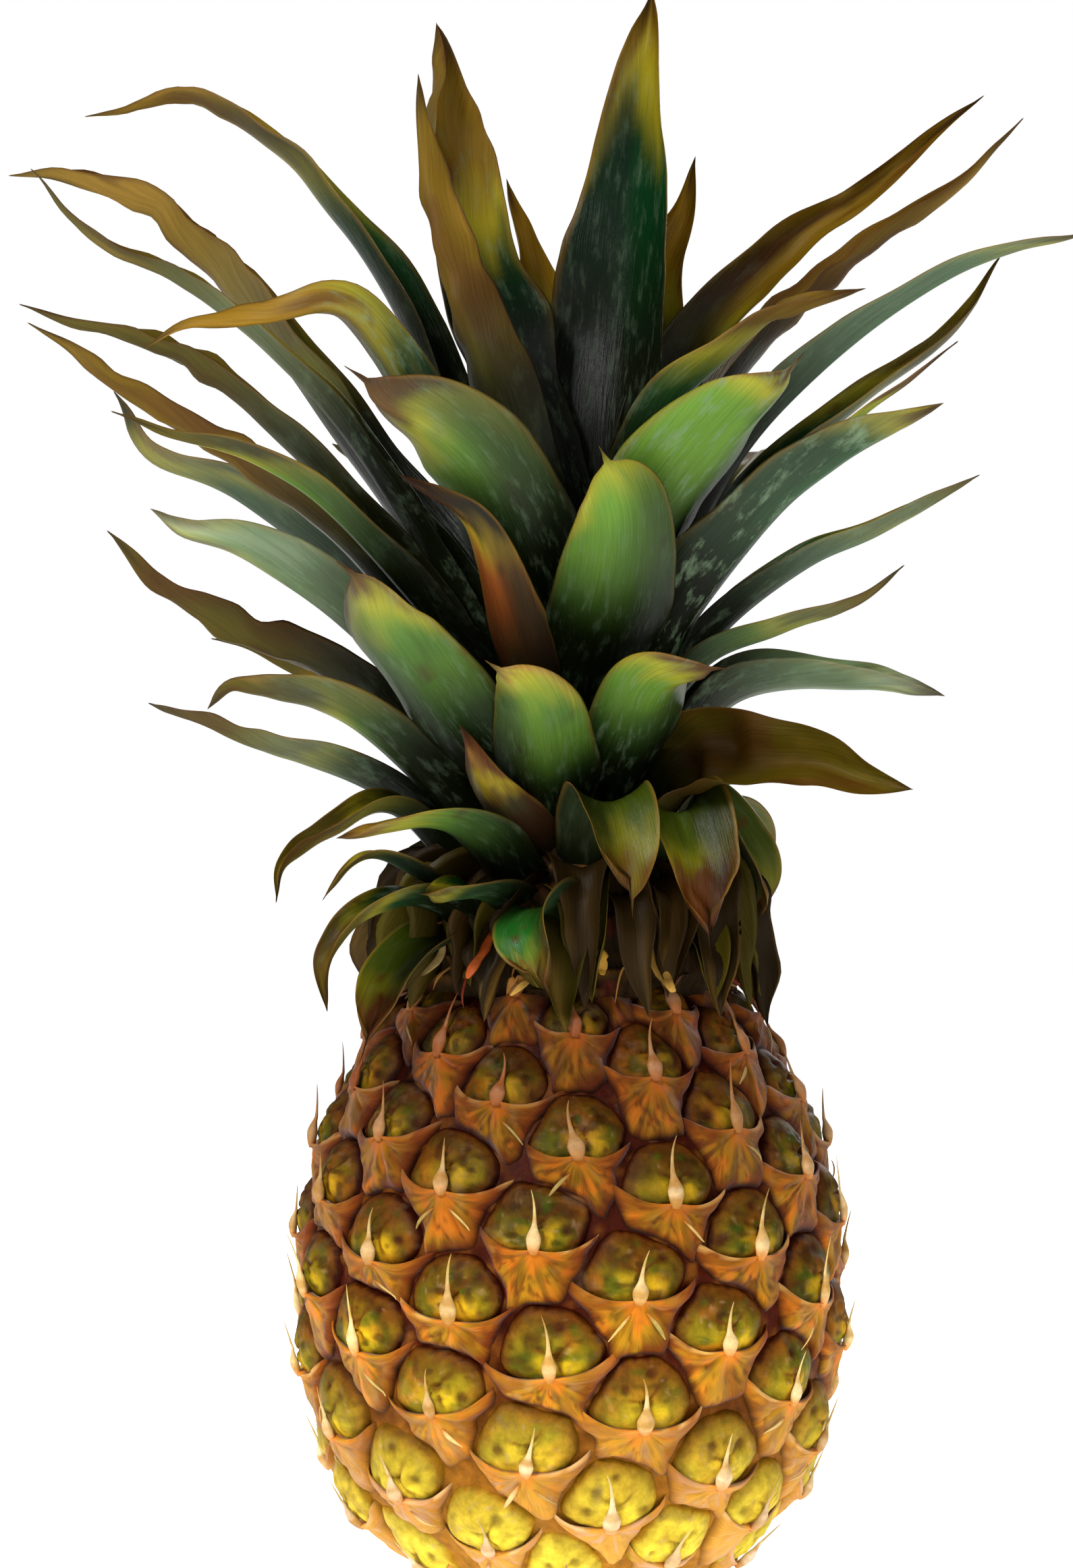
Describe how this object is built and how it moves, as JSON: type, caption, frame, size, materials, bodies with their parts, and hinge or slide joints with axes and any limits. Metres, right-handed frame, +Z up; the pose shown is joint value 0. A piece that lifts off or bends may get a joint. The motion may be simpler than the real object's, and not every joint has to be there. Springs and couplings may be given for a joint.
{
  "type": "pineapple",
  "caption": "Whole ripe pineapple: barrel-shaped fruit covered in spiralling spiny eyes, crowned by a rosette of long curved leaves; food and display prop.",
  "frame": {"origin": "centre of the small flat spot under the fruit that it stands on", "axes": "+Z up through the fruit and its crown, -Y towards the side seen in the reference view, +X to that view's right"},
  "size_m": [0.2346, 0.1607, 0.3481],
  "materials": {
    "fruit": "uneven waxy rind",
    "crown_stem": "fibrous",
    "leaf_arching_left": "waxy leaf",
    "leaf_far_left_broad": "waxy leaf",
    "leaf_far_left_slim": "waxy leaf",
    "leaf_folded_left": "waxy leaf",
    "leaf_front_left_brown_tip": "waxy leaf",
    "leaf_left_long_slim": "waxy leaf",
    "leaf_left_olive": "waxy leaf",
    "leaf_left_slim": "waxy leaf",
    "leaf_left_hooked": "waxy leaf",
    "leaf_left_pale": "waxy leaf",
    "leaf_front_left_big": "waxy leaf",
    "leaf_left_low_olive": "waxy leaf",
    "leaf_left_low_hidden": "waxy leaf",
    "leaf_left_low_folded": "waxy leaf",
    "leaf_left_lowest": "waxy leaf",
    "leaf_left_droop_hook": "waxy leaf",
    "leaf_front_left_arch": "waxy leaf",
    "leaf_left_dark_arch": "waxy leaf",
    "leaf_left_droop_big": "waxy leaf",
    "leaf_front_small_dome": "waxy leaf",
    "leaf_front_droop_olive": "waxy leaf",
    "leaf_left_droop_shoulder": "waxy leaf",
    "leaf_centre_left_brown": "waxy leaf",
    "leaf_back_left_broad": "waxy leaf",
    "leaf_back_left_second": "waxy leaf",
    "leaf_back_right_broad": "waxy leaf",
    "leaf_back_right_second": "waxy leaf",
    "leaf_right_khaki": "waxy leaf",
    "leaf_right_brown": "waxy leaf",
    "leaf_right_folded": "waxy leaf",
    "leaf_front_right_oval": "waxy leaf",
    "leaf_right_long": "waxy leaf",
    "leaf_right_twisted": "waxy leaf",
    "leaf_right_slim": "waxy leaf",
    "leaf_right_pale_broad": "waxy leaf",
    "leaf_right_curved": "waxy leaf",
    "leaf_right_low_slim": "waxy leaf",
    "leaf_right_low_pale": "waxy leaf",
    "leaf_right_low_olive": "waxy leaf",
    "leaf_right_droop_back": "waxy leaf",
    "leaf_right_droop_mid": "waxy leaf",
    "leaf_front_droop": "waxy leaf",
    "leaf_front_oval": "waxy leaf",
    "leaf_front_low_left": "waxy leaf",
    "leaf_front_low_right": "waxy leaf",
    "leaf_dried_brown": "waxy leaf",
    "leaf_dried_low": "waxy leaf",
    "leaf_rear_arching": "waxy leaf",
    "leaf_rear_left_mid": "waxy leaf",
    "leaf_rear_right_mid": "waxy leaf",
    "leaf_rear_low_left": "waxy leaf",
    "leaf_rear_low_mid": "waxy leaf",
    "leaf_rear_low_right": "waxy leaf",
    "leaf_rear_droop_left": "waxy leaf",
    "leaf_rear_droop_mid": "waxy leaf",
    "leaf_rear_droop_right": "waxy leaf",
    "leaf_rear_upper_right": "waxy leaf"
  },
  "bodies": {
    "root": {"fruit": "fruit", "crown_stem": "crown_stem", "leaf_arching_left": "leaf_arching_left", "leaf_far_left_broad": "leaf_far_left_broad", "leaf_far_left_slim": "leaf_far_left_slim", "leaf_folded_left": "leaf_folded_left", "leaf_front_left_brown_tip": "leaf_front_left_brown_tip", "leaf_left_long_slim": "leaf_left_long_slim", "leaf_left_olive": "leaf_left_olive", "leaf_left_slim": "leaf_left_slim", "leaf_left_hooked": "leaf_left_hooked", "leaf_left_pale": "leaf_left_pale", "leaf_front_left_big": "leaf_front_left_big", "leaf_left_low_olive": "leaf_left_low_olive", "leaf_left_low_hidden": "leaf_left_low_hidden", "leaf_left_low_folded": "leaf_left_low_folded", "leaf_left_lowest": "leaf_left_lowest", "leaf_left_droop_hook": "leaf_left_droop_hook", "leaf_front_left_arch": "leaf_front_left_arch", "leaf_left_dark_arch": "leaf_left_dark_arch", "leaf_left_droop_big": "leaf_left_droop_big", "leaf_front_small_dome": "leaf_front_small_dome", "leaf_front_droop_olive": "leaf_front_droop_olive", "leaf_left_droop_shoulder": "leaf_left_droop_shoulder", "leaf_centre_left_brown": "leaf_centre_left_brown", "leaf_back_left_broad": "leaf_back_left_broad", "leaf_back_left_second": "leaf_back_left_second", "leaf_back_right_broad": "leaf_back_right_broad", "leaf_back_right_second": "leaf_back_right_second", "leaf_right_khaki": "leaf_right_khaki", "leaf_right_brown": "leaf_right_brown", "leaf_right_folded": "leaf_right_folded", "leaf_front_right_oval": "leaf_front_right_oval", "leaf_right_long": "leaf_right_long", "leaf_right_twisted": "leaf_right_twisted", "leaf_right_slim": "leaf_right_slim", "leaf_right_pale_broad": "leaf_right_pale_broad", "leaf_right_curved": "leaf_right_curved", "leaf_right_low_slim": "leaf_right_low_slim", "leaf_right_low_pale": "leaf_right_low_pale", "leaf_right_low_olive": "leaf_right_low_olive", "leaf_right_droop_back": "leaf_right_droop_back", "leaf_right_droop_mid": "leaf_right_droop_mid", "leaf_front_droop": "leaf_front_droop", "leaf_front_oval": "leaf_front_oval", "leaf_front_low_left": "leaf_front_low_left", "leaf_front_low_right": "leaf_front_low_right", "leaf_dried_brown": "leaf_dried_brown", "leaf_dried_low": "leaf_dried_low", "leaf_rear_arching": "leaf_rear_arching", "leaf_rear_left_mid": "leaf_rear_left_mid", "leaf_rear_right_mid": "leaf_rear_right_mid", "leaf_rear_low_left": "leaf_rear_low_left", "leaf_rear_low_mid": "leaf_rear_low_mid", "leaf_rear_low_right": "leaf_rear_low_right", "leaf_rear_droop_left": "leaf_rear_droop_left", "leaf_rear_droop_mid": "leaf_rear_droop_mid", "leaf_rear_droop_right": "leaf_rear_droop_right", "leaf_rear_upper_right": "leaf_rear_upper_right"}
  },
  "joints": []
}
